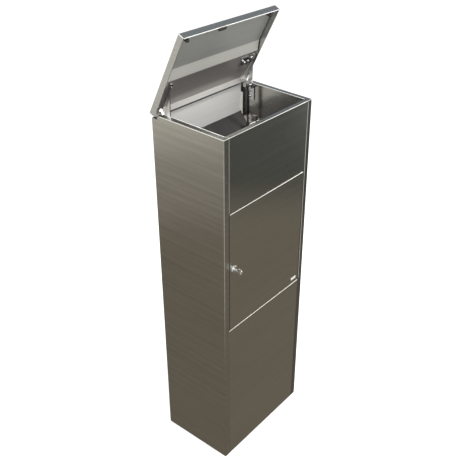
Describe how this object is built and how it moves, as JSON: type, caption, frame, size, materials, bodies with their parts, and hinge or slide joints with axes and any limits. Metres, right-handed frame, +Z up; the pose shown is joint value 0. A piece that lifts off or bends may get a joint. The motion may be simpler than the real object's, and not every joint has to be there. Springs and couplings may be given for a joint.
{
  "type": "book drop box",
  "caption": "Free-standing brushed stainless drop box with a hinged top lid on a gas strut, a chute inside and a locked front collection door.",
  "frame": {"origin": "middle of the base plate's underside, on the floor", "axes": "+Z up, front (door) towards -Y, +X to the right seen from the front"},
  "size_m": [0.4, 0.3039, 1.4497],
  "materials": {
    "side_steel": "brushed, fine grain",
    "front_steel": "brushed, fine grain",
    "lid_steel": "brushed",
    "liner_steel": "brushed",
    "inner_steel": "mill finish",
    "bright_metal": "bright plated",
    "strut_black": "gloss black paint",
    "rubber": "matt"
  },
  "bodies": {
    "cabinet": {"side_panel_left": "side_steel", "side_panel_right": "side_steel", "back_panel": "inner_steel", "top_front_panel": "front_steel", "bottom_front_panel": "front_steel", "base_plate": "inner_steel", "corner_post_left": "inner_steel", "corner_post_right": "inner_steel", "cross_rail_top": "inner_steel", "cross_rail_bottom": "inner_steel", "collection_floor": "inner_steel", "chute_plate": "inner_steel", "chute_bracket_left": "inner_steel", "chute_bracket_right": "inner_steel", "door_pin_upper": "bright_metal", "door_pin_lower": "bright_metal", "door_washer": "bright_metal", "hinge_bracket_left": "bright_metal", "hinge_bracket_right": "bright_metal", "hinge_pin_left": "bright_metal", "hinge_pin_right": "bright_metal", "hinge_screw_left_1": "bright_metal", "hinge_screw_left_2": "bright_metal", "hinge_screw_right_1": "bright_metal", "hinge_screw_right_2": "bright_metal", "strut_bracket": "bright_metal"},
    "door": {"door_panel": "front_steel", "door_stiffener": "inner_steel", "blank_nameplate": "bright_metal", "door_bumper_left": "rubber", "door_bumper_right": "rubber", "lock_housing": "bright_metal", "lock_nut": "bright_metal"},
    "lock_turning": {"lock_core": "bright_metal", "lock_cam": "bright_metal", "cam_screw": "bright_metal", "key": "bright_metal"},
    "lid": {"lid_skin": "lid_steel", "lid_liner": "liner_steel", "lid_buffer_left": "rubber", "lid_buffer_right": "rubber", "lid_front_pad": "rubber", "lid_arm_left": "bright_metal", "lid_arm_right": "bright_metal", "arm_bolt_left_1": "bright_metal", "arm_bolt_left_2": "bright_metal", "arm_bolt_right_1": "bright_metal", "arm_bolt_right_2": "bright_metal", "arm_rivet_left": "bright_metal", "arm_rivet_right": "bright_metal", "crank_stud": "bright_metal"},
    "strut_lower": {"strut_end_lower": "strut_black", "strut_rod": "bright_metal"},
    "strut_upper": {"strut_tube": "strut_black", "strut_end_upper": "strut_black"}
  },
  "joints": [
    {"name": "lid_hinge", "type": "hinge", "parent": "cabinet", "child": "lid", "pos_m": [0, 0.1205, 1.2042], "axis": [1, 0, 0], "range_deg": [0, 63.5]},
    {"name": "door_hinge", "type": "hinge", "parent": "cabinet", "child": "door", "pos_m": [0.17, -0.128, 0.756], "axis": [0, 0, 1], "range_deg": [0, 105]},
    {"name": "lock_turn", "type": "hinge", "parent": "door", "child": "lock_turning", "pos_m": [-0.156, -0.133, 0.768], "axis": [0, 1, 0], "range_deg": [0, 90]},
    {"name": "strut_swing", "type": "hinge", "parent": "cabinet", "child": "strut_lower", "pos_m": [0.1662, 0.086, 1.06], "axis": [1, 0, 0], "range_deg": [-14.82, 0]},
    {"name": "strut_slide", "type": "slide", "parent": "strut_lower", "child": "strut_upper", "axis": [0, 0.0231, 0.9997], "range_m": [-0.01739, 0]}
  ],
  "couplings": [
    {"joint": "strut_swing", "follows": "lid_hinge", "ratio": -0.22877},
    {"joint": "strut_slide", "follows": "lid_hinge", "m_per_rad": -0.015381}
  ]
}
